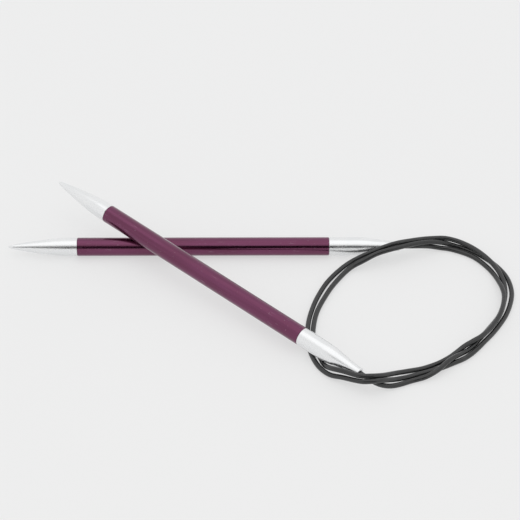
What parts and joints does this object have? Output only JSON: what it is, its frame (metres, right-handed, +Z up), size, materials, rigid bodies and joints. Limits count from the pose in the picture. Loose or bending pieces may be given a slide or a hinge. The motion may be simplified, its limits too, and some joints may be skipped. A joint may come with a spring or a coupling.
{
  "type": "circular knitting needle",
  "caption": "Circular knitting needle: short round needles with silver points and plum tubes, joined by a dark flexible cord lying in a loose coil",
  "frame": {"origin": "Centre of the two needles' outline in plan, on the surface they lie on (z = 0). The cord is not counted.", "axes": "+X runs along the lower needle from its tip to its cord, the longest extent. +Y is level and square to it. +Z is up, the shortest extent."},
  "size_m": [0.1633, 0.0887, 0.013],
  "materials": {
    "point_metal": "satin polished bare metal working end",
    "plum_tube": "plum anodised tube, satin, with fine scratches",
    "ferrule_metal": "satin polished bare metal taper",
    "sleeve_steel": "plain crimped steel, hidden inside the ferrule",
    "cord_coating": "smooth semi-gloss dark grey plastic coating over a stranded core"
  },
  "bodies": {
    "cable": {"cable": "cord_coating", "lower_cable_neck": "cord_coating", "upper_cable_neck": "cord_coating"},
    "lower_end": {"lower_crimp_sleeve": "sleeve_steel", "lower_cable_end": "cord_coating"},
    "lower_needle": {"lower_point": "point_metal", "lower_tube": "plum_tube", "lower_ferrule": "ferrule_metal"},
    "upper_end": {"upper_crimp_sleeve": "sleeve_steel", "upper_cable_end": "cord_coating"},
    "upper_needle": {"upper_point": "point_metal", "upper_tube": "plum_tube", "upper_ferrule": "ferrule_metal"}
  },
  "joints": [
    {"name": "lower_swing", "type": "hinge", "parent": "cable", "child": "lower_end", "pos_m": [0.06585, 0.01893, 0.00299], "axis": [0, 0, 1], "range_deg": [-35, 0], "deforming": ["lower_cable_neck"]},
    {"name": "lower_swivel", "type": "hinge", "parent": "lower_end", "child": "lower_needle", "pos_m": [0.055, 0.01893, 0.00299], "axis": [1, 0, 0], "continuous": true},
    {"name": "upper_lift", "type": "hinge", "parent": "cable", "child": "upper_end", "pos_m": [0.04977, -0.0425, 0.00372], "axis": [0.6541, 0.7564, 0], "range_deg": [0, 40], "deforming": ["upper_cable_neck"]},
    {"name": "upper_swivel", "type": "hinge", "parent": "upper_end", "child": "upper_needle", "pos_m": [0.04819, -0.04113, 0.00384], "axis": [0.7552, -0.653, -0.0567], "continuous": true}
  ]
}
